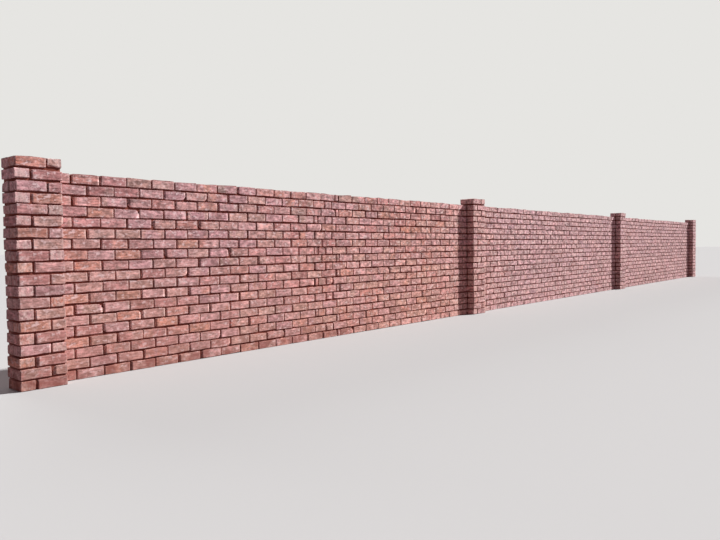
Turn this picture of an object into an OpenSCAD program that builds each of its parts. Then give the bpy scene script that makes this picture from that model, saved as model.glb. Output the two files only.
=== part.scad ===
// Half-brick garden wall in stretcher bond, stiffened by brick piers that project from its front.
// X runs along the wall, Y from its front to its back, and Z up from the ground line.
// The origin is at the ground, midway along the wall and midway through the piers.

/* [Brick] */
// Width of a brick, and so the thickness of the wall
brick_w = 106; // [100:1:110]
// Height of a brick
brick_h = 73; // [60:1:76]

/* [Joints] */
// Height of a bed joint
bed_h = 12; // [8:1:16]
// Width of an upright joint
perpend = 10; // [6:1:14]
// Depth to which the bed joints are raked back from every face
rake = 10; // [4:1:16]

/* [Wall] */
// Courses in a panel
wall_courses = 19; // [9:2:25]
// Courses by which each pier stands above the panels
pier_rise = 1; // [1:1:3]
// Distance from one pier to the next
bay_pitch = 6320; // [6240:10:6440]
// Whole stretchers laid from each pier before the closers
run_bricks = 12; // [12:1:12]

/* [Hidden] */

piers = 4;
// A stretcher is as long as two headers and the joint between them
brick_l = 2 * brick_w + perpend;
stretcher = brick_l + perpend;
// Each course laps the one below by half a stretcher
lap = stretcher / 2;
course_h = brick_h + bed_h;
pier_courses = wall_courses + pier_rise;
// A pier is a brick and a half wide and one brick deep, flush with the back of the wall
pier_w = brick_l + perpend + brick_w;
pier_d = brick_l;
front_y = -pier_d / 2;
face_y = pier_d / 2 - brick_w;
// Cutters run past the faces that they cut by this much
past = 1;

function pier_left(p) = (p - (piers + 1) / 2) * bay_pitch - pier_w / 2;
function pier_right(p) = pier_left(p) + pier_w;
function course_z(i) = i * course_h;

// On even courses a pier shows its header at the left, and the panel on its right is toothed
// into the back of it. On odd courses it is the other way round.
function header_left(i) = i % 2 == 0;

// Ends of the brick runs of bay b on course i, bay b lying between piers b and b + 1
function run_start(b, i) = pier_right(b) - (header_left(i) ? brick_w : 0);
function run_end(b, i) = pier_left(b + 1) + (header_left(i) ? 0 : brick_w);
function closers_start(b, i) = pier_right(b) + run_bricks * stretcher + (header_left(i) ? lap : 0);
function closers_end(b, i) = pier_left(b + 1) - run_bricks * stretcher - (header_left(i) ? 0 : lap);

// One course of a panel, from x0 to x1
module panel_course(i, x0, x1) {
    translate([x0, face_y, course_z(i)])
        cube([x1 - x0, brick_w, brick_h]);
}

// The raked bed joint under course i of a panel, which stops at the bed joints of the piers
module panel_bed(b, i, x0, x1) {
    from = max(x0, pier_right(b) - rake);
    to = min(x1, pier_left(b + 1) + rake);
    translate([from, face_y + rake, course_z(i) - bed_h])
        cube([to - from, brick_w - 2 * rake, bed_h]);
}

// A toothed end or middle of a panel: courses with the joint that each is bedded on
module panel_part(b, first, last, starts, ends) {
    for (i = [first:last]) {
        panel_course(i, starts[i], ends[i]);
        if (i > 0)
            panel_bed(b, i, starts[i], ends[i]);
    }
}

// A bay from pier to pier on the courses from first to last
module whole_bay(b, first, last) {
    panel_part(b, first, last, [for (i = [0:last]) run_start(b, i)], [for (i = [0:last]) run_end(b, i)]);
}

module bay_base(b) {
    color("#8a4a3c") whole_bay(b, 0, 0);
}

module bay_top(b) {
    color("#b9807a") whole_bay(b, wall_courses - 1, wall_courses - 1);
}

// The stretchers racked back from the pier at the left of the bay
module bay_left(b) {
    last = wall_courses - 2;
    color("#b3766e")
        panel_part(b, 1, last, [for (i = [0:last]) run_start(b, i)], [for (i = [0:last]) closers_start(b, i)]);
}

// The cut bricks that fill the stepped gap where the work from the two piers meets
module bay_closers(b) {
    last = wall_courses - 2;
    color("#9c6258")
        panel_part(b, 1, last, [for (i = [0:last]) closers_start(b, i)], [for (i = [0:last]) closers_end(b, i)]);
}

// The stretchers racked back from the pier at the right of the bay
module bay_right(b) {
    last = wall_courses - 2;
    color("#b3766e")
        panel_part(b, 1, last, [for (i = [0:last]) closers_end(b, i)], [for (i = [0:last]) run_end(b, i)]);
}

// One course of pier p, with the pocket at its back where a panel's brick is bonded in
module pier_course(p, i) {
    bonded_right = p < piers && i < wall_courses && header_left(i);
    bonded_left = p > 1 && i < wall_courses && !header_left(i);
    difference() {
        translate([pier_left(p), front_y, course_z(i)])
            cube([pier_w, pier_d, brick_h]);
        if (bonded_right)
            translate([pier_right(p) - brick_w, face_y, course_z(i) - past])
                cube([brick_w + past, brick_w + past, brick_h + 2 * past]);
        if (bonded_left)
            translate([pier_left(p) - past, face_y, course_z(i) - past])
                cube([brick_w + past, brick_w + past, brick_h + 2 * past]);
    }
}

// The raked bed joint under course i of pier p
module pier_bed(p, i) {
    translate([pier_left(p) + rake, front_y + rake, course_z(i) - bed_h])
        cube([pier_w - 2 * rake, pier_d - 2 * rake, bed_h]);
}

module pier_base(p) {
    color("#8a4a3c") pier_course(p, 0);
}

module pier_shaft(p) {
    color("#b0726a")
        for (i = [1:wall_courses - 1]) {
            pier_course(p, i);
            pier_bed(p, i);
        }
}

// The course or courses that stand above the top of the panels
module pier_top(p) {
    color("#c08a80")
        for (i = [wall_courses:pier_courses - 1]) {
            pier_course(p, i);
            pier_bed(p, i);
        }
}

pier_base(1);  // pier_1_base
pier_shaft(1);  // pier_1_shaft
pier_top(1);  // pier_1_top
pier_base(2);  // pier_2_base
pier_shaft(2);  // pier_2_shaft
pier_top(2);  // pier_2_top
pier_base(3);  // pier_3_base
pier_shaft(3);  // pier_3_shaft
pier_top(3);  // pier_3_top
pier_base(4);  // pier_4_base
pier_shaft(4);  // pier_4_shaft
pier_top(4);  // pier_4_top
bay_base(1);  // bay_1_base
bay_left(1);  // bay_1_left
bay_closers(1);  // bay_1_closers
bay_right(1);  // bay_1_right
bay_top(1);  // bay_1_top
bay_base(2);  // bay_2_base
bay_left(2);  // bay_2_left
bay_closers(2);  // bay_2_closers
bay_right(2);  // bay_2_right
bay_top(2);  // bay_2_top
bay_base(3);  // bay_3_base
bay_left(3);  // bay_3_left
bay_closers(3);  // bay_3_closers
bay_right(3);  // bay_3_right
bay_top(3);  // bay_3_top
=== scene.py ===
# %% [markdown]
# # A brick garden wall
#
# This lesson dresses the solids of a half-brick garden wall with real bricks. The solids give the
# sizes, the bond and the places. Everything that is added here follows from them: each brick, the
# raked mortar between the bricks, their colours, and the light that they are seen in.

# %% Load the frame
import math

import bpy
import numpy as np
from mathutils import Matrix, Vector


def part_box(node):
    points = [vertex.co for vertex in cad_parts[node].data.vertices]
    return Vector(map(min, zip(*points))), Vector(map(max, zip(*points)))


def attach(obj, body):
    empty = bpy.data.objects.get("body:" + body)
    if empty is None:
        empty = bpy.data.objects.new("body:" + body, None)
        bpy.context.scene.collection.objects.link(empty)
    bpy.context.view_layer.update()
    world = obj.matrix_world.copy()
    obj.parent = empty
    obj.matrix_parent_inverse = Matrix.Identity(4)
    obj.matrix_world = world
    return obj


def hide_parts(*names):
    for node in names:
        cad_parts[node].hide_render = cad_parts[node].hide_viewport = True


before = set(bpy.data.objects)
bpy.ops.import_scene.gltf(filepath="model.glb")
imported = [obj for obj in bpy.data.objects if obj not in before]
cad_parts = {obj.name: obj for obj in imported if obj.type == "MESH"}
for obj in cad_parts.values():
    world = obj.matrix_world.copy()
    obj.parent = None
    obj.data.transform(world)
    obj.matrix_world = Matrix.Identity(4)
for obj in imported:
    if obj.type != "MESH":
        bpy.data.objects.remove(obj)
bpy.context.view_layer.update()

# %% [markdown]
# ## Reading the bond from the solids
#
# A bricklayer works from a few sizes: the brick, the bed joint under it, the upright joint beside
# it, and how far apart the piers stand. The same sizes can be typed in again, but then they could
# differ from the solids. Here they are measured on the frame's boxes, so both always agree.

# %% Measure the brick and the joints
foot_low, foot_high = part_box("pier_1_base")
panel_low, panel_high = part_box("bay_1_base")
crown_low, crown_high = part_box("pier_1_top")
brick_h = foot_high.z - foot_low.z
course_h = crown_high.z - crown_low.z
bed_h = course_h - brick_h
brick_l = foot_high.y - foot_low.y
brick_w = panel_high.y - panel_low.y
perpend = brick_l - 2 * brick_w
stretcher = brick_l + perpend
face_y, back_y = panel_low.y, panel_high.y
front_y = foot_low.y
print(f"brick {brick_l:.3f} x {brick_w:.3f} x {brick_h:.3f} m, bed {bed_h:.3f}, perpend {perpend:.3f}")

# %% Measure the piers, the courses and the runs
piers = sum(name.startswith("pier_") and name.endswith("_base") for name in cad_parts)
pier_x = [[corner.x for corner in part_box(f"pier_{p}_base")] for p in range(1, piers + 1)]
(first_left, first_right), (second_left, second_right), (_, third_right) = pier_x[:3]
wall_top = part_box("bay_1_top")[1].z
pier_top = crown_high.z
wall_courses = round((wall_top + bed_h) / course_h)
pier_courses = round((pier_top + bed_h) / course_h)
run_bricks = round((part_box("bay_1_closers")[0].x - first_right) / stretcher)
print(piers, "piers,", wall_courses, "courses,", run_bricks, "whole bricks from each pier")

# %% [markdown]
# ## Laying out the bricks
#
# In stretcher bond every brick shows its long side, and each course laps the one below by half a
# brick. The panels start from the piers, where every second course is bonded into a pocket at the
# pier's back. Headers, which run from front to back, tie the piers together. In the middle of a bay
# the two runs don't quite meet, so a bricklayer cuts bats and closers to fill the gap. An array
# modifier can't cut a closer, so the layout is a list made course by course, in the order in which
# a wall is built.

# %% A list of bricks to lay
bricks = []


def lay(node, level, x0, x1, y0, y1, header=False):
    """Notes a brick: its node, its course, the rectangle it covers, and if it runs front to back."""
    bricks.append((node, level, x0, x1, y0, y1, header))


# %% The piers, a brick and a half wide and one brick deep
def lay_pier(p):
    """Lays each course of a pier: a header or a half at one side, a stretcher, and what backs them.

    A header ties the front of the pier to its back. At the wall's free ends it is laid on every
    course that has it there, and elsewhere on two courses out of four, so that no upright joint at
    the back runs on for more than three courses.
    """
    left, right = pier_x[p - 1]
    front_end = face_y - perpend
    three_quarter = (right - left - perpend) / 2
    for level in range(pier_courses):
        part = "base" if level == 0 else "shaft" if level < wall_courses else "top"
        header_left = level % 2 == 0
        bonded = level < wall_courses and (p < piers if header_left else p > 1)
        free = p == 1 if header_left else p == piers
        tied = free or level % 4 in (0, 3)
        if tied:
            backing = [(right - brick_l, right - brick_l + (brick_w if bonded else brick_l))]
        elif bonded:
            backing = [(left, left + brick_l)]
        else:
            backing = [(left, left + three_quarter), (right - three_quarter, right)]
        course = [(left, left + brick_w, front_y, back_y if tied else front_end, tied),
                  (right - brick_l, right, front_y, front_end, False)]
        course += [(x0, x1, face_y, back_y, False) for x0, x1 in backing]
        for x0, x1, y0, y1, header in course:
            if not header_left:
                x0, x1 = left + right - x1, left + right - x0
            lay(f"pier_{p}_{part}", level, x0, x1, y0, y1, header)


for p in range(1, piers + 1):
    lay_pier(p)
print(len(bricks), "bricks in the piers")


# %% The cut bricks in the middle of a bay
def cuts(level, gap):
    """Lengths of the bricks that fill a gap: a stretcher and a closer, or a cut brick and halves."""
    if level % 2 == 0:
        return [brick_l, gap - stretcher]
    if level % 4 == 1:
        return [gap - brick_w - perpend, brick_w]
    return [gap - 2 * (brick_w + perpend), brick_w, brick_w]


# %% The panels between the piers
def lay_bay(b):
    """Lays each course of a panel: a run from the left pier, a run from the right one, and the cuts."""
    left, right = pier_x[b - 1][1], pier_x[b][0]
    for level in range(wall_courses):
        tooth_left = level % 2 == 0
        start = left - brick_w if tooth_left else left + perpend
        end = right - perpend if tooth_left else right + brick_w
        left_xs = [start + k * stretcher for k in range(run_bricks + tooth_left)]
        right_xs = [end - brick_l - k * stretcher for k in range(run_bricks + (not tooth_left))]
        edge = {0: "base", wall_courses - 1: "top"}.get(level)
        for x in left_xs:
            lay(f"bay_{b}_{edge or 'left'}", level, x, x + brick_l, face_y, back_y)
        for x in right_xs:
            lay(f"bay_{b}_{edge or 'right'}", level, x, x + brick_l, face_y, back_y)
        x = left_xs[-1] + stretcher
        for length in cuts(level, right_xs[-1] - perpend - x):
            lay(f"bay_{b}_{edge or 'closers'}", level, x, x + length, face_y, back_y)
            x += length + perpend


for b in range(1, piers):
    lay_bay(b)
print(len(bricks), "bricks in all")

# %% [markdown]
# ## The shape of one brick
#
# These bricks were moulded soft and fired in a clamp, so no two are alike: the sides bow, the
# arrises are rounded, the ends are a little out of square and many corners are knocked off. A cube
# with a Bevel modifier would give the same brick hundreds of times. Instead each brick is a profile
# carried along its length. The profile is a rectangle with cut corners, and it changes a little
# from station to station. All the bricks are worked out at once, as arrays with one row a brick.

# %% Sizes of every brick as arrays
rng = np.random.default_rng(3)
count = len(bricks)
node_of, level, left_x, right_x, near_y, far_y, header = (np.array(column) for column in zip(*bricks))
centre = np.stack([(left_x + right_x) / 2, (near_y + far_y) / 2, level * course_h + brick_h / 2], 1)
size_x, size_y = right_x - left_x, far_y - near_y
size = [np.where(header, size_y, size_x), np.where(header, size_x, size_y), np.full(count, brick_h)]
half = np.stack(size, 1) / 2
print("half sizes from", half.min(0), "to", half.max(0))

# %% The profile and the stations along a brick
# Each profile point is a share of the half width and the cut corner, then a share of the half
# height and the cut corner. It starts in the middle of the front and goes over the top.
profile = np.array([
    (-1, 0, 0, 0), (-1, 0, 1, -1), (-1, 1, 1, 0), (1, -1, 1, 0), (1, 0, 1, -1),
    (1, 0, 0, 0), (1, 0, -1, 1), (1, -1, -1, 0), (-1, 1, -1, 0), (-1, 0, -1, 1)], float)
corner_of = np.array([0, 0, 0, 1, 1, 1, 2, 2, 3, 3])
at_corner = profile[:, [1, 3]].any(1)
stations = np.array([-1, -0.94, -0.5, 0, 0.5, 0.94, 1])
rings, points = len(stations), len(profile)
print(rings, "stations of", points, "points")


# %% Random offsets
weights_norm = 2.4


def between(least, spread, shape):
    """Random numbers from least to least plus spread."""
    return np.array(least) + np.array(spread) * rng.random(shape)


def wander(amount, steps):
    """Offsets that change slowly from station to station: noise averaged with its neighbours.

    The weights are 1, 2 and 1. Dividing by the root of the sum of their squares keeps the spread.
    """
    noise = rng.normal(0, amount, (count, steps + 2))
    return (noise[:, :-2] + 2 * noise[:, 1:-1] + noise[:, 2:]) / weights_norm


# %% Corners that are knocked off
# About one corner in thirteen is chipped, and more often at a brick's left or front end. A high
# power makes most of the chips only a few millimetres deep.
chip_share = 0.09
by_end = np.array([[1.1], [0.6]])
chip_small, chip_large = 0.006, 0.026
chip_power = 2.2


def chips():
    """Depth of the chip at each end and corner of each brick: mostly none, and a few large."""
    depth = chip_small + (chip_large - chip_small) * rng.random((count, 2, 4)) ** chip_power
    return np.where(rng.random((count, 2, 4)) < chip_share * by_end, depth, 0)


chip = chips()
print((chip > 0).sum(), "corners of", chip.size, "chipped")


# %% Corners that are plainly broken near the first pier
def facing(course, along):
    """Index of the brick that shows in front, on a course and along metres from the wall's left end."""
    x = along + first_left
    shown = np.flatnonzero((level == course) & (left_x <= x) & (x <= right_x))
    return shown[np.argmin(near_y[shown])]


# The course above the lowest, the place along the wall, the end, the corner and the depth of each
for course, along, end, corner, depth in (
        (19, 0.285, 0, 2, 0.034), (16, 1.0, 0, 3, 0.030), (15, 0.9, 1, 0, 0.028), (14, 1.7, 0, 3, 0.028),
        (11, 1.35, 0, 3, 0.026), (11, 2.05, 0, 3, 0.024), (12, 3.3, 0, 3, 0.026)):
    chip[facing(course, along), end, corner] = depth
# The end of a header is narrow, so its corners lose less. Whole bricks were picked for the top
# course, so its upper corners lose less too.
header_keeps, top_keeps = 0.55, 0.3
chip[header] *= header_keeps
chip[level == wall_courses - 1, :, :2] *= top_keeps
print("the largest chip is", f"{chip.max() * 1000:.0f} mm")

# %% How far a brick strays from a plain block, in metres
# An arris is cut by a random share of this, and the two lower ones of the profile by more
arris = 0.0022
arris_least, arris_spread = 0.7, 0.9
lower_softer = np.array([1, 1, 1.6, 1.6])
# How far the faces bow, how far the beds wave, and how rough both are
face_bow, bed_wave, grain = 0.0012, 0.0021, 0.0004
# Where the rounding of the first and the last end starts, and how many arrises it draws them in by
rounding_least, rounding_spread = [0.006, 0.003], [0.008, 0.003]
draw_least, draw_spread = [0.7, 0.4], [1.1, 0.4]
# In shares of a chip's depth: how far it cuts down, inwards and down one station on, and its length
chip_down, chip_in, chip_tail, chip_reach = 0.85, 0.45, 0.12, 1.1
# The slope of an end that is out of square, and how far each end stops short of its line
out_of_square = 0.022
short_of_line, short_spread = (0.0014, 0.0002), 0.0015
# Each end with its outermost station and the next one
ENDS = ((0, 0, 1), (1, -1, -2))
print(f"arrises cut by {arris * 1000:.1f} mm, faces bowed by about {face_bow * 1000:.1f} mm")


# %% All the bricks as one array of points
def brick_points():
    """Points [brick, station, profile point, axis] in each brick's own axes: length, depth, height.

    A point is its share of the half sizes plus its share of the cut corner. The faces then wander
    in and out, the end stations are drawn in for a rounded end, and chips pull their corner in.
    """
    cut = arris * between(arris_least, arris_spread, (count, rings, 4)) * lower_softer
    cut = cut[:, :, corner_of]
    v = profile[:, 0] * half[:, 1, None, None] + profile[:, 1] * cut
    w = profile[:, 2] * half[:, 2, None, None] + profile[:, 3] * cut
    u = np.broadcast_to(stations[:, None] * half[:, 0, None, None], v.shape).copy()

    # The second station is a rounding's length from the end, also on a short bat
    rounding = between(rounding_least, rounding_spread, (count, 2))
    reach = np.maximum(rounding, chip.max(2) * chip_reach)
    u[:, 1] = (-half[:, 0] + reach[:, 0])[:, None]
    u[:, -2] = (half[:, 0] - reach[:, 1])[:, None]

    # Faces bow in and out, beds rise and fall, and every point is a little off
    front, back = (wander(face_bow, rings)[:, :, None] for _ in range(2))
    upper, lower = (wander(bed_wave, rings)[:, :, None] for _ in range(2))
    v += np.where(profile[:, 0] < 0, front, 0) + np.where(profile[:, 0] > 0, back, 0)
    w += np.where(profile[:, 2] > 0, upper, 0) + np.where(profile[:, 2] < 0, lower, 0)
    v += rng.normal(0, grain, v.shape)
    w += rng.normal(0, grain, w.shape)

    # Rounded ends
    draw = arris * between(draw_least, draw_spread, (count, 2))
    for end, ring, _ in ENDS:
        v[:, ring] -= profile[:, 0] * draw[:, end, None]
        w[:, ring] -= profile[:, 2] * draw[:, end, None]

    # Chips pull the corner's points towards the middle, most at the end itself
    for end, ring, next_ring in ENDS:
        depth = chip[:, end][:, corner_of] * at_corner
        w[:, ring] -= np.sign(profile[:, 2]) * depth * chip_down
        v[:, ring] -= np.sign(profile[:, 0]) * depth * chip_in
        w[:, next_ring] -= np.sign(profile[:, 2]) * depth * chip_tail

    # Ends out of square, and lengths that differ
    for end, ring, next_ring in ENDS:
        skew = rng.normal(0, out_of_square, (count, 1))
        stretch = rng.normal(-short_of_line[end], short_spread, (count, 1))
        for r in (ring, next_ring):
            u[:, r] += skew * w[:, r] + stretch * np.sign(stations[r])
    return np.stack([u, v, w], 3)


local = brick_points().reshape(count, -1, 3)
per_brick = local.shape[1]
print(per_brick, "points a brick")

# %% How far a hand lays a brick off its line
# The turns are in radians, and the shifts along, across and up are in metres.
yaw_spread, dip_spread, lean_spread = 0.004, 0.004, 0.008
shift_spread = np.array([0.0013, 0.0011, 0.0008])
# A course rises and falls by two waves, and its bricks drift along it by two more. Each is a size
# in metres, its radians a metre, and how many times the course's own phase is added. The work in a
# pier is checked against a line, so it drifts less.
RISE = ((0.0016, 2.1, 1), (0.0012, 5.3, 2))
DRIFT = ((0.0045, 3.7, 3), (0.0018, 8.3, 5))
pier_drift = 0.3


def waves(parts, phase):
    """Sum over the parts of size times the sine of rate times x plus phase taken a few times."""
    return sum(size * np.sin(centre[:, 0] * rate + times * phase) for size, rate, times in parts)


# %% Set the bricks in the wall
def set_bricks(rows):
    """Turns each brick slightly, moves it to its place, and lets the courses rise, fall and drift.

    A small turn shifts a point sideways by its angle times its distance. A header runs along y.
    """
    yaw = rng.normal(0, yaw_spread, (count, 1))
    dip = rng.normal(0, dip_spread, (count, 1))
    lean = rng.normal(0, lean_spread, (count, 1))
    u, v, w = rows[:, :, 0], rows[:, :, 1], rows[:, :, 2]
    u, v = u - yaw * v, v + yaw * u
    u, w = u - dip * w, w + dip * u
    v, w = v - lean * w, w + lean * v
    x = np.where(header[:, None], -v, u)
    y = np.where(header[:, None], u, v)
    place = np.stack([x, y, w], 2) + centre[:, None]
    place += rng.normal(0, 1, (count, 1, 3)) * shift_spread
    phase = rng.random(pier_courses)[level] * 2 * math.pi
    steady = np.where(np.char.startswith(node_of, "pier"), pier_drift, 1)
    place[:, :, 0] += (waves(DRIFT, phase) * steady)[:, None]
    place[:, :, 2] += waves(RISE, phase)[:, None]
    # No brick of the lowest course sinks below the ground
    place[:, :, 2] = np.maximum(place[:, :, 2], foot_low.z)
    return place


placed = set_bricks(local)
print("bricks from", placed.min((0, 1)), "to", placed.max((0, 1)))


# %% [markdown]
# ## From arrays to meshes
#
# All the bricks of one solid are joined in one mesh, so that the wall has a few dozen pieces and
# not eighteen hundred. The faces of one brick are listed once, and every further brick repeats them
# with its own points. Each brick also carries three attributes that its material reads: where a
# point lies in its own brick, how large that brick is, and the lots that it drew for its colours.

# %% Faces of one brick
def brick_faces():
    """Quads from each station to the next, and four flat quads across each end, facing outwards."""
    ring, point = np.meshgrid(np.arange(rings - 1), np.arange(points), indexing="ij")
    here = ring * points + point
    beside = ring * points + (point + 1) % points
    sides = np.stack([here, here + points, beside + points, beside], 2).reshape(-1, 4)
    first = np.array([(1, 2, 3, 4), (0, 1, 4, 5), (9, 0, 5, 6), (8, 9, 6, 7)])
    last = first[:, ::-1] + (rings - 1) * points
    return np.concatenate([sides, first, last])


one_brick = brick_faces()
print(len(one_brick), "faces a brick")


# %% Put arrays into a mesh
def make_mesh(name, place, faces):
    """A smooth mesh object at the origin from points [n, 3] and four-sided faces [m, 4]."""
    mesh = bpy.data.meshes.new(name)
    mesh.vertices.add(len(place))
    mesh.vertices.foreach_set("co", place.astype(np.float32).ravel())
    mesh.loops.add(faces.size)
    mesh.loops.foreach_set("vertex_index", faces.astype(np.int32).ravel())
    mesh.polygons.add(len(faces))
    mesh.polygons.foreach_set("loop_start", np.arange(0, faces.size, 4, dtype=np.int32))
    mesh.polygons.foreach_set("use_smooth", np.ones(len(faces), bool))
    mesh.update(calc_edges=True)
    mesh.validate()
    piece = bpy.data.objects.new(name, mesh)
    bpy.context.scene.collection.objects.link(piece)
    return piece


def add_attribute(piece, name, kind, key, values):
    """Stores one value a point under a name that a material can read."""
    attribute = piece.data.attributes.new(name, kind, "POINT")
    attribute.data.foreach_set(key, values.astype(np.float32).ravel())


# %% [markdown]
# ## Materials
#
# Each material is worked out from numbers in millimetres, so it keeps its scale on every piece.
# An image of bricks would carry its own light and its own joints, and it would repeat. Nodes give
# every brick its own clay, because they read the lots that the brick drew.

# %% Colours and nodes
MM = 0.001


def linear(code):
    """An sRGB hex colour as linear red, green, blue and full alpha, by the standard's own curve."""
    parts = [int(code[i:i + 2], 16) / 255 for i in (1, 3, 5)]
    return [c / 12.92 if c <= 0.04045 else ((c + 0.055) / 1.055) ** 2.4 for c in parts] + [1.0]


def add_node(tree, kind, inputs=None, stops=None, **settings):
    """Adds a shader node: inputs are values or links, stops a ramp's colours, settings properties."""
    node = tree.nodes.new("ShaderNode" + kind)
    for name, value in settings.items():
        setattr(node, name, value)
    for key, value in (inputs or {}).items():
        if isinstance(value, bpy.types.NodeSocket):
            tree.links.new(value, node.inputs[key])
        else:
            node.inputs[key].default_value = value
    for i, (place, code) in enumerate(stops or []):
        ramp = node.color_ramp.elements
        stop = ramp[i] if i < 2 else ramp.new(place)
        stop.position = place
        stop.color = linear(code)
    return node


def new_material(name):
    """A material with an empty node tree."""
    material = bpy.data.materials.new(name)
    material.use_nodes = True
    material.node_tree.nodes.clear()
    return material, material.node_tree


print("a mid grey, #808080, is", round(linear("#808080")[0], 3), "in linear light")


# %% [markdown]
# ### Clamp-fired clay facing brick
#
# Clay that is burnt in a clamp takes its colour from the fire: rose and salmon where the air
# reached it, mauve and grey where it lay close, and often both on one brick, with a sharp edge
# where the next brick rested on it. The arrises are rubbed paler, the face has fine drag marks
# along its length, and pits and specks of ash. Fired clay is rough, so it has no gloss.
#
# An image could be laid on one brick, but then all the bricks would be alike. Here the finish is
# worked out in steps. A pattern is a noise of a real size. A mask says where a pattern or a place
# on the wall counts. A layer is a colour that is laid over the clay as far as its masks say.
# Two layers are painted shade: the dark in the pits, and the dark band at the arrises by the joints,
# which is also partly mortar stain.

# %% Colours of the clay, and of the patches that the fire flashed
CLAYS = [(0.0, "#b5898a"), (0.14, "#c09392"), (0.3, "#ca9d99"), (0.42, "#c4968e"), (0.52, "#c1988b"),
         (0.62, "#c7948f"), (0.72, "#bf8984"), (0.8, "#b67f7a"), (0.87, "#c59180"), (0.95, "#c48c7a"),
         (1.0, "#c28270")]
FIRES = [(0.0, "#b5948a"), (0.3, "#c59c90"), (0.5, "#be8279"), (0.7, "#ca9584"), (0.85, "#aa8184"),
         (1.0, "#c58874")]
print(len(CLAYS), "clays and", len(FIRES), "flashed ones")

# %% Patterns in the clay
# The size of a pattern in millimetres, its detail and its roughness. Then how close together its
# features lie along the brick, across it and upwards: below 1 they are drawn out. Last comes an
# offset, so that no two patterns of nearly one size fall on each other. Real grit and sand are finer,
# and are drawn coarse enough to show.
PATTERNS = {
    "band": (150, 2.0, 0.5, (1, 0.2, 0.3), 0.0),
    "cloud": (46, 3.0, 0.55, (0.6, 1, 1), 3.0),
    "patch": (34, 2.0, 0.5, (0.6, 1, 1), 19.0),
    "bloom": (30, 3.0, 0.6, (1, 1, 1), 9.0),
    "lime": (26, 2.0, 0.5, (0.6, 1, 1), 13.0),
    "blotch": (24, 2.0, 0.5, (0.5, 1, 1), 5.0),
    "speck": (13, 2.0, 0.6, (0.7, 1, 1), 11.0),
    "drag": (12, 2.0, 0.5, (0.14, 1, 1), 7.0),
    "crumble": (8, 2.0, 0.6, (1, 1, 1), 23.0),
    "grit": (3.5, 2.0, 0.6, (1, 1, 1), 17.0),
    "sand": (2.5, 2.0, 0.6, (1, 1, 1), 29.0),
}
pit_mm = 26
splash_mm = 1000 / 9
# What a brick's lots are multiplied by, so that its noise lies far from its neighbours'
lot_stride = (37, 53, 71)
# How far the crumble noise moves the rim of a pit and the distance from an arris
pit_crumble, arris_crumble = 0.6, 20 * MM
print(len(PATTERNS), "patterns, the largest", max(size for size, *_ in PATTERNS.values()), "mm")


# %% What the material of a brick can read
def lots_and_patterns(tree):
    """Sockets by name: the lots that the brick drew, and its patterns.

    Every brick reads its own stretch of each noise, at its place plus its lots times the stride.
    """
    lots = add_node(tree, "Attribute", attribute_name="brick_lots").outputs
    lot = add_node(tree, "SeparateColor", {0: lots["Color"]}).outputs
    read = {"clay_lot": lot[0], "fire_lot": lot[1], "flash_lot": lot[2], "tone_lot": lots["Alpha"]}
    place = add_node(tree, "Attribute", attribute_name="brick_place").outputs["Vector"]
    shift = add_node(tree, "VectorMath", {0: lots["Vector"], 1: lot_stride}, operation="MULTIPLY")
    own = add_node(tree, "VectorMath", {0: place, 1: shift.outputs[0]}, operation="ADD").outputs[0]
    for name, (size_mm, detail, roughness, closeness, offset) in PATTERNS.items():
        moved = add_node(tree, "Mapping", {0: own, 1: (offset, offset, offset), 3: closeness})
        noise = {"Vector": moved.outputs[0], "Scale": 1 / (size_mm * MM), "Detail": detail,
                 "Roughness": roughness}
        read[name] = add_node(tree, "TexNoise", noise).outputs[0]
    # A pit has no round rim, so the distance from its middle is read through a fine noise
    cell = add_node(tree, "TexVoronoi", {"Vector": own, "Scale": 1 / (pit_mm * MM)})
    hollow = {0: read["crumble"], 1: pit_crumble, 2: cell.outputs["Distance"]}
    read["hollow"] = add_node(tree, "Math", hollow, operation="MULTIPLY_ADD").outputs[0]
    return read


def add_places(tree, read):
    """Adds the distances in the brick, the place in the wall, and patches of splashed soil.

    The distance from the nearest arris is the middle one of the distances to the three pairs of
    faces, which is the larger of the two smallest.
    """
    place = add_node(tree, "Attribute", attribute_name="brick_place").outputs["Vector"]
    edge = add_node(tree, "Attribute", attribute_name="brick_half").outputs["Vector"]
    inward = add_node(tree, "VectorMath", {0: place}, operation="ABSOLUTE").outputs[0]
    gaps = add_node(tree, "VectorMath", {0: edge, 1: inward}, operation="SUBTRACT").outputs[0]
    read["to_end"], to_side, to_bed = add_node(tree, "SeparateXYZ", {0: gaps}).outputs
    pair = {0: read["to_end"], 1: to_side}
    small = add_node(tree, "Math", pair, operation="MINIMUM").outputs[0]
    large = add_node(tree, "Math", pair, operation="MAXIMUM").outputs[0]
    capped = add_node(tree, "Math", {0: large, 1: to_bed}, operation="MINIMUM").outputs[0]
    inset = add_node(tree, "Math", {0: small, 1: capped}, operation="MAXIMUM").outputs[0]
    # An arris crumbles unevenly, so its distance is read through a fine noise too
    ragged = {0: read["crumble"], 1: arris_crumble, 2: inset}
    read["to_arris"] = add_node(tree, "Math", ragged, operation="MULTIPLY_ADD").outputs[0]
    in_wall = add_node(tree, "TexCoord").outputs["Object"]
    read["along"], _, read["height"] = add_node(tree, "SeparateXYZ", {0: in_wall}).outputs
    splash = {"Vector": in_wall, "Scale": 1 / (splash_mm * MM), "Detail": 4.0}
    read["splash"] = add_node(tree, "TexNoise", splash).outputs[0]


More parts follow.
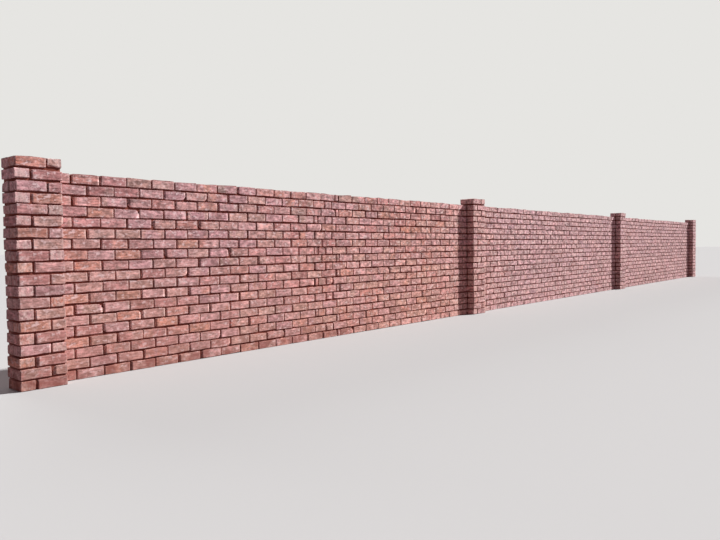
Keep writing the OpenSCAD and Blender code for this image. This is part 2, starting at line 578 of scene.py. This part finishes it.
# %% Masks
# What a mask reads, the value at which it is 0 and the value at which it is 1. Places along the
# wall and heights are in metres.
MASKS = {
    "banded": ("band", 0.47, 0.57), "flashed": ("flash_lot", 0.25, 0.75),
    "bloomed": ("bloom", 0.5, 0.72), "limed": ("lime", 0.56, 0.68), "clouded": ("cloud", 0.52, 0.64),
    # The pits are where painted shade darkens the hollows of the face
    "specked": ("speck", 0.58, 0.67), "pits_with_painted_shade": ("hollow", 0.42, 0.34),
    "end": ("to_end", 17 * MM, 7 * MM), "some_ends": ("bloom", 0.40, 0.56),
    "rubbed": ("to_arris", 21 * MM, 14 * MM), "some_arrises": ("bloom", 0.65, 0.4),
    "stained": ("to_arris", 15 * MM, 11 * MM),
    # stained: a dark band along each arris, partly mortar stain and partly painted shade beside the raked
    # joints
    "fresh": ("along", second_right, first_right + 0.5),
    "worn": ("along", first_right - 1.0, first_right + 4.0),
    "weathered": ("along", first_right + 0.5, second_right),
    "bleached": ("along", second_left - 1.5, second_right + 1.5),
    "low": ("height", 1.5, 0.1), "foot": ("height", 0.34, 0.0),
    "splashed": ("splash", 0.35, 0.65), "near_end": ("along", first_left + 5.0, first_left + 2.2),
}
# Shares that change along the wall: where they start, and how much of each mask is added
SHARES = {
    "lime_share": (0.6, {"weathered": 0.37}),
    "aged_share": (0.0, {"bleached": 0.2, "weathered": 0.22}),
    # The dark edge band, partly mortar stain and partly painted shade by the joints, grows stronger where
    # the wall is worn
    "edge_stain_and_shade_share": (0.65, {"worn": 0.35}),
    "salmon": (0.0, {"weathered": 1.0, "bleached": -1.0}),
    "dust_share": (1.0, {"bleached": -0.7}),
}
print(len(MASKS), "masks and", len(SHARES), "shares")


def brick_masks(tree, read):
    """Sockets by name: a smooth step for each mask, and a weighted sum of masks for each share."""
    masks = {}
    for name, (source, none, full) in MASKS.items():
        step = {0: read[source], 1: none, 2: full}
        masks[name] = add_node(tree, "MapRange", step, interpolation_type="SMOOTHSTEP").outputs[0]
    for name, (share, gains) in SHARES.items():
        for mask, gain in gains.items():
            grown = {0: masks[mask], 1: gain, 2: share}
            share = add_node(tree, "Math", grown, operation="MULTIPLY_ADD").outputs[0]
        masks[name] = share
    return masks


# %% How light the clay is
# The factors that a pattern swings between, from its usual lowest to its usual highest value
SWINGS = {"cloud": (0.76, 1.22), "blotch": (0.70, 1.26), "drag": (0.80, 1.16), "sand": (0.88, 1.12)}
noise_low, noise_high = 0.36, 0.64
tone_low, tone_high = 0.86, 1.14
# What a patch adds to the factor where the wall is worn
patch_low, patch_high = -0.28, 0.43


def brick_light(tree, read, masks):
    """The brick's own tone times the factor of each pattern, and of the patches where it is worn."""
    light = add_node(tree, "MapRange", {0: read["tone_lot"], 3: tone_low, 4: tone_high}).outputs[0]
    for name, (low, high) in SWINGS.items():
        swing = {0: read[name], 1: noise_low, 2: noise_high, 3: low, 4: high}
        factor = add_node(tree, "MapRange", swing).outputs[0]
        light = add_node(tree, "Math", {0: light, 1: factor}, operation="MULTIPLY").outputs[0]
    swing = {0: read["patch"], 1: noise_low, 2: noise_high, 3: patch_low, 4: patch_high}
    patch = {0: add_node(tree, "MapRange", swing).outputs[0], 1: masks["worn"], 2: 1.0}
    factor = add_node(tree, "Math", patch, operation="MULTIPLY_ADD").outputs[0]
    return add_node(tree, "Math", {0: light, 1: factor}, operation="MULTIPLY").outputs[0]


# %% Layers of colour
# The masks that a layer is multiplied by, its share and its colour. First the bleached far bays.
BLEACH = [(["bleached"], 0.5, "#c9a4ad")]
FACE = [
    # Pale bloom, spots of lime and paler weathered clouds, then specks of ash, and pits painted dark as
    # shade in their hollows
    (["bloomed"], 0.4, "#ecd0c8"),
    (["limed", "lime_share"], 1.0, "#f7ddd8"),
    (["clouded", "aged_share"], 1.0, "#f9cfc7"),
    (["specked"], 0.55, "#6a403c"),
    (["pits_with_painted_shade"], 0.6, "#5c3430"),
    # Ends left pale by the next brick, arrises rubbed pale, and a dark edge band: mortar stain and
    # painted shade by the joints
    (["end", "some_ends"], 0.4, "#e6cec2"),
    (["rubbed", "some_arrises"], 0.3, "#ecccc6"),
    (["stained", "edge_stain_and_shade_share"], 1.0, "#7c382f"),
]
# Dust from the ground makes the lower courses warmer
DUST = [(["low", "dust_share"], 0.16, "#eba887")]
soil = "#9b5f55"
# What red, green and blue are multiplied by: a cooler pink at the free end, and a warmer salmon up
# to where the bricks are bleached
TINTS = {"fresh": (1.0, 0.985, 1.04, 1.0), "salmon": (1.01, 0.94, 0.92, 1.0)}
print(len(BLEACH + FACE + DUST) + 1, "layers and", len(TINTS), "tints")


def lay_over(tree, masks, colour, layers):
    """The colour with each layer mixed in, by the layer's share times its masks."""
    for names, share, code in layers:
        for name in names:
            share = add_node(tree, "Math", {0: masks[name], 1: share}, operation="MULTIPLY").outputs[0]
        mixed = {0: share, 6: colour, 7: linear(code)}
        colour = add_node(tree, "Mix", mixed, data_type="RGBA").outputs[2]
    return colour


# %% Relief of the face
relief_depth = 2.2 * MM
relief_share = 0.8


def brick_relief(tree, read, masks):
    """Normals of a weighted sum: drag marks and grit stand up, and specks, pits and dark edge bands lie
    deep.
    """
    height = 0.0
    for source, weight in ((read["drag"], 0.9), (read["speck"], -0.6), (read["grit"], 0.3),
                           (masks["pits_with_painted_shade"], -0.8), (masks["stained"], -0.5)):
        raised = {0: source, 1: weight, 2: height}
        height = add_node(tree, "Math", raised, operation="MULTIPLY_ADD").outputs[0]
    bump = {"Height": height, "Distance": relief_depth, "Strength": relief_share}
    return add_node(tree, "Bump", bump).outputs[0]


# %% Clamp-fired clay facing brick
def clamp_fired_brick(name, dirt):
    """Fired clay, rough and dull, with dirt as the share of the soil splashed up near the free end."""
    material, tree = new_material(name)
    read = lots_and_patterns(tree)
    add_places(tree, read)
    masks = brick_masks(tree, read)

    # The clay's own colour, and the patch that the fire flashed, with bands across the brick
    clay = add_node(tree, "ValToRGB", {0: read["clay_lot"]}, stops=CLAYS).outputs[0]
    fire = add_node(tree, "ValToRGB", {0: read["fire_lot"]}, stops=FIRES).outputs[0]
    bands = {0: masks["banded"], 1: masks["flashed"]}
    bands = add_node(tree, "Math", bands, operation="MULTIPLY").outputs[0]
    colour = add_node(tree, "Mix", {0: bands, 6: clay, 7: fire}, data_type="RGBA").outputs[2]

    # Bleaching, light and dark clay, what lies on the face with its painted shade, and what the place in
    # the wall adds
    colour = lay_over(tree, masks, colour, BLEACH)
    light = brick_light(tree, read, masks)
    colour = add_node(tree, "VectorMath", {0: colour, 3: light}, operation="SCALE").outputs[0]
    colour = lay_over(tree, masks, colour, FACE)
    for mask, factors in TINTS.items():
        tinted = {0: masks[mask], 6: colour, 7: factors}
        colour = add_node(tree, "Mix", tinted, data_type="RGBA", blend_type="MULTIPLY").outputs[2]
    splash = (["foot", "splashed", "near_end"], dirt, soil)
    colour = lay_over(tree, masks, colour, DUST + [splash])
    shader = add_node(tree, "BsdfPrincipled", {
        "Base Color": colour, "Normal": brick_relief(tree, read, masks), "Roughness": 0.92,
        "Specular IOR Level": 0.25})
    add_node(tree, "OutputMaterial", {"Surface": shader.outputs[0]})
    return material


facing_brick = clamp_fired_brick("clamp_fired_facing_brick", dirt=0.5)
foot_brick = clamp_fired_brick("soil_splashed_foot_brick", dirt=0.9)
print(len(facing_brick.node_tree.nodes), "nodes in the brick")


# %% [markdown]
# ### Raked cement mortar
#
# The joints were raked back with a tool while the mortar was green. Sand grains were dragged out,
# so the surface is dull and gritty, and in the shade of the bricks it reads as a dark line. One
# even colour would look like paint, so two noises stain it and scatter the sand.

# %% Raked cement mortar
# The sand in mortar is finer than this, and is drawn coarse enough to show
stain_mm = 1000 / 6
sand_mm = 4
# Where the grit noise starts to show as grains, where it shows most, and how much then
grains_from, grains_to, grains_share = 0.54, 0.66, 0.45
mortar_relief = 1.5 * MM


def raked_mortar():
    """Sandy cement mortar: stains of clay between two reds, and paler grains where the grit is high."""
    material, tree = new_material("raked_cement_mortar")
    place = add_node(tree, "TexCoord").outputs["Object"]
    stain = {"Vector": place, "Scale": 1 / (stain_mm * MM), "Detail": 4.0}
    stain = add_node(tree, "TexNoise", stain).outputs[0]
    reds = [(0.3, "#6c352d"), (0.7, "#874a3e")]
    stained = add_node(tree, "ValToRGB", {0: stain}, stops=reds).outputs[0]
    grit = {"Vector": place, "Scale": 1 / (sand_mm * MM), "Detail": 2.0}
    grit = add_node(tree, "TexNoise", grit).outputs[0]
    grains = {0: grit, 1: grains_from, 2: grains_to, 4: grains_share}
    grains = add_node(tree, "MapRange", grains).outputs[0]
    sandy = {0: grains, 6: stained, 7: linear("#b07a6b")}
    sandy = add_node(tree, "Mix", sandy, data_type="RGBA").outputs[2]
    bump = add_node(tree, "Bump", {"Height": grit, "Distance": mortar_relief, "Strength": 0.8}).outputs[0]
    shader = add_node(tree, "BsdfPrincipled", {
        "Base Color": sandy, "Normal": bump, "Roughness": 0.95, "Specular IOR Level": 0.2})
    add_node(tree, "OutputMaterial", {"Surface": shader.outputs[0]})
    return material


mortar = raked_mortar()
print(len(mortar.node_tree.nodes), "nodes in the mortar")

# %% [markdown]
# ## The lots of the bricks
#
# A brick's colour depends on where it lay in the clamp, so it is a lot that each brick draws. The
# bricks of one pallet lay close together, so neighbours are a little alike. Colours could also be
# painted by hand, but not on eighteen hundred bricks. Only those that stand out are set one by one.

# %% Draw four lots a brick
# The lots are its clay, its flash, how much it is flashed, and its tone.
lots = rng.random((count, 4))
from_end, raised = centre[:, 0] - first_left, centre[:, 2]
# A few bricks are of the warm clays at the end of the ramp, and more of them low at the free end
warm_share, warm_at_end, warm_reach = 0.01, 0.2, 1.2
common_clays, warm_clays = 0.83, 0.14
warm_chance = warm_share + warm_at_end * np.exp(-from_end / warm_reach) * (1 - raised / pier_top)
warm = rng.random(count) < warm_chance
# Slow waves for the pallets that the bricks came from: radians a metre along and up, and a phase
PALLETS = ((2.9, 2.2, 0.0), (1.3, -5.1, 2.0))
own_share, lowest, sway = 0.8, 0.1, 0.1
pallet = sum(np.sin(centre[:, 0] * rate + rise * raised + phase) for rate, rise, phase in PALLETS)
lots[:, 0] = np.clip(lots[:, 0] * own_share + lowest + sway * pallet, 0, 1)
lots[:, 0] = np.where(warm, common_clays + warm_clays * lots[:, 0], common_clays * lots[:, 0])
print(warm.sum(), "bricks of a warm clay")

# %% Bricks that stand out around the first pier
KINDS = {"lilac": (0.12, 0.85, 0.1, 1.0), "pink": (0.3, 0.3, 0.1, 1.0), "tan": (0.5, 0.25, 0.7, 0.6),
         "rose": (0.79, 0.5, 0.45, 0.3), "salmon": (0.955, 0.3, 0.5, 0.6),
         "orange": (1.0, 0.25, 0.45, 0.8), "brown": (0.98, 0.3, 0.45, 0.1)}
# The course above the lowest, the place along the wall and the kind of clay of each
for course, along, kind in (
        (19, 0.1, "orange"), (18, 0.05, "pink"), (18, 0.23, "rose"), (17, 0.1, "lilac"),
        (16, 0.05, "pink"), (16, 0.23, "salmon"), (14, 0.23, "tan"), (13, 0.1, "brown"),
        (13, 0.5, "salmon"), (12, 0.23, "tan"), (11, 0.1, "rose"), (10, 0.58, "orange"),
        (9, 0.1, "rose"), (9, 0.5, "tan"), (7, 0.3, "orange"), (7, 0.5, "salmon"),
        (6, 0.23, "tan"), (5, 0.1, "salmon"), (5, 0.9, "orange"), (4, 0.23, "rose"),
        (4, 0.58, "rose"), (3, 0.5, "orange"), (2, 0.23, "rose")):
    lots[facing(course, along)] = KINDS[kind]


def way_along(start, end):
    """How far each brick is on its way from start to end along the wall, from 0 to 1."""
    return np.clip((centre[:, 0] - start) / (end - start), 0, 1)


# The bricks grow lighter towards the second pier, and differ more in tone, also on to the third
wider_far, wider_farthest, lighter_far = 0.5, 0.6, 0.4
farther, farthest = way_along(first_right, second_right), way_along(second_right, third_right)
tone_range = 1 + wider_far * farther + wider_farthest * farthest
lots[:, 3] = 0.5 + (lots[:, 3] - 0.5) * tone_range + lighter_far * farther
print("tones from", lots[:, 3].min(), "to", lots[:, 3].max())

# %% Join the bricks of each solid
# The normals at an edge are weighted by area, so they follow the large faces, which look flat.
for node in dict.fromkeys(node_of.tolist()):
    chosen = node_of == node
    number = chosen.sum()
    offset = (np.arange(number) * per_brick)[:, None, None]
    faces = (one_brick + offset).reshape(-1, 4)
    piece = make_mesh(node + "_bricks", placed[chosen].reshape(-1, 3), faces)
    add_attribute(piece, "brick_place", "FLOAT_VECTOR", "vector", local[chosen])
    add_attribute(piece, "brick_half", "FLOAT_VECTOR", "vector", np.repeat(half[chosen], per_brick, 0))
    add_attribute(piece, "brick_lots", "FLOAT_COLOR", "color", np.repeat(lots[chosen], per_brick, 0))
    at_foot = node.endswith("_base")
    piece.data.materials.append(foot_brick if at_foot else facing_brick)
    weighted = piece.modifiers.new("flat faces", "WEIGHTED_NORMAL")
    weighted.weight = 100
    weighted.thresh = 1e-5
    weighted.keep_sharp = False
    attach(piece, "root")
    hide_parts(node)
    print(piece.name, number, "bricks")


# %% [markdown]
# ## The mortar
#
# The mortar is one body that the bricks sit in. A strip could be made for every joint, but that is
# thousands of strips. Modelled as a slab a little thinner than the wall, the mortar shows only in
# the joints, and its own surface rises and falls, as a raked joint's does.

# %% A slab of mortar with uneven faces
# How deep the joints are raked in the faces and at the sides of a pier, and the slab's gap at the top
rake = 0.0115
side_rake = 0.0095
top_gap = 0.011
columns_a_brick, rows_a_course = 8, 3
uneven_spread, uneven_most = 0.0018, 0.004


def mortar_slab(name, x0, x1, y0, y1, top):
    """A closed slab: a profile up its front and down its back, carried from x0 to x1, with end faces.

    The front and back points move in and out by small random amounts.
    """
    columns = max(2, round((x1 - x0) / (stretcher / columns_a_brick)))
    rows = round(top / (course_h / rows_a_course))
    ring = 2 * (rows + 1)
    z = np.linspace(0, top, rows + 1)
    uneven = np.clip(rng.normal(0, uneven_spread, (columns + 1, ring)), -uneven_most, uneven_most)
    place = np.empty((columns + 1, ring, 3))
    place[:, :, 0] = np.linspace(x0, x1, columns + 1)[:, None]
    place[:, :, 1] = np.repeat([y0, y1], rows + 1) + uneven
    place[:, :, 2] = np.concatenate([z, z[::-1]])
    i, k = np.meshgrid(np.arange(columns), np.arange(ring), indexing="ij")
    here = i * ring + k
    beside = i * ring + (k + 1) % ring
    sides = np.stack([here, here + ring, beside + ring, beside], 2).reshape(-1, 4)
    k = np.arange(rows)
    low = np.stack([k, k + 1, ring - 2 - k, ring - 1 - k], 1)
    high = low[:, ::-1] + columns * ring
    piece = make_mesh(name, place.reshape(-1, 3), np.concatenate([sides, low, high]))
    piece.data.materials.append(mortar)
    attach(piece, "root")
    print(name, len(piece.data.polygons), "faces")


for p, (left, right) in enumerate(pier_x, 1):
    ends = left + side_rake, right - side_rake
    mortar_slab(f"pier_{p}_mortar", *ends, front_y + rake, back_y - rake, pier_top - top_gap)
for b in range(1, piers):
    ends = pier_x[b - 1][1] - 2 * rake, pier_x[b][0] + 2 * rake
    mortar_slab(f"bay_{b}_mortar", *ends, face_y + rake, back_y - rake, wall_top - top_gap)

# %% [markdown]
# ## Light, floor and camera
#
# The wall is seen in plain daylight: a soft sun far to the right and above. It rakes across the
# face, which draws every arris and fills the joints with shade. A weak even light comes from all
# round, and a broad lamp from behind shows the back. The floor is plain and pale. One picture of a
# sky could light it all, but lamps can be set one by one.


# %% Lamps
def add_sun(name, side, height, strength, spread):
    """A sun that shines from side degrees right of the face's own direction and height above ground.

    The direction is a point on a sphere: its height is the sine of one angle, and the rest is shared
    by the sine and cosine of the other. Spread is the sun's angular size in degrees.
    """
    a, e = math.radians(side), math.radians(height)
    towards = Vector((math.sin(a) * math.cos(e), -math.cos(a) * math.cos(e), math.sin(e)))
    lamp = bpy.data.lights.new(name, "SUN")
    lamp.energy = strength
    lamp.angle = math.radians(spread)
    holder = bpy.data.objects.new(name, lamp)
    holder.rotation_mode = "QUATERNION"
    holder.rotation_quaternion = towards.to_track_quat("Z", "Y")
    bpy.context.scene.collection.objects.link(holder)
    print(name, "from", tuple(round(value, 2) for value in towards))


add_sun("sun_soft", side=64, height=40, strength=6.0, spread=3)
add_sun("back_light", side=165, height=22, strength=1.5, spread=40)


# %% Sky and floor
def seen_or_lit(tree, seen, lit):
    """A shader that shows seen to the camera and lit to all other rays."""
    path = add_node(tree, "LightPath").outputs
    return add_node(tree, "MixShader", {0: path["Is Camera Ray"], 1: lit, 2: seen}).outputs[0]


world = bpy.data.worlds.new("studio")
bpy.context.scene.world = world
world.use_nodes = True
sky = world.node_tree
sky.nodes.clear()
fill_strength = 0.165
backdrop = add_node(sky, "Background", {0: linear("#e6e5e2"), 1: 1.0}).outputs[0]
fill = add_node(sky, "Background", {0: linear("#f4d2e0"), 1: fill_strength}).outputs[0]
add_node(sky, "OutputWorld", {0: seen_or_lit(sky, backdrop, fill)})

# The floor throws a darker and redder light on the wall than the one in which it shows
floor_half = 150.0
corners = np.array([(-1, -1, 0), (1, -1, 0), (1, 1, 0), (-1, 1, 0)]) * floor_half
floor = make_mesh("floor", corners, np.array([[0, 1, 2, 3]]))
paving, ground = new_material("plain_pale_floor")
shown = add_node(ground, "BsdfDiffuse", {0: linear("#b6b6b5")}).outputs[0]
bounce = add_node(ground, "BsdfDiffuse", {0: linear("#83777a")}).outputs[0]
add_node(ground, "OutputMaterial", {0: seen_or_lit(ground, shown, bounce)})
floor.data.materials.append(paving)
print("floor", 2 * floor_half, "m wide")

# %% [markdown]
# The camera stands where the picture was taken: left of the first pier, at chest height, looking
# along the wall to the right. Its place was worked out from where the joints fall in the picture.

# %% Camera
IMAGE_W = 720
focal_px = 643.7
yaw, pitch, roll = (math.radians(a) for a in (49.66, -2.12, -0.64))
before_pier = 1.906
from_face = 4.926
below_top = 0.584

camera = bpy.data.cameras.new("camera")
camera.sensor_width = 36.0
camera.lens = focal_px / IMAGE_W * camera.sensor_width
camera.clip_end = 500
eye = bpy.data.objects.new("camera", camera)
bpy.context.scene.collection.objects.link(eye)
ahead = Vector((math.sin(yaw) * math.cos(pitch), math.cos(yaw) * math.cos(pitch), math.sin(pitch)))
side = Vector((math.cos(yaw), -math.sin(yaw), 0))
up = side.cross(ahead)
turned_side = side * math.cos(roll) + up * math.sin(roll)
turned_up = up * math.cos(roll) - side * math.sin(roll)
place = Vector((first_left - before_pier, face_y - from_face, wall_top - below_top))
axes = Matrix((turned_side, turned_up, -ahead)).transposed()
eye.matrix_world = Matrix.Translation(place) @ axes.to_4x4()
bpy.context.scene.camera = eye
print("camera at", tuple(place), "lens", round(camera.lens, 2))

# %% Plain view settings
bpy.context.scene.view_settings.view_transform = "Standard"
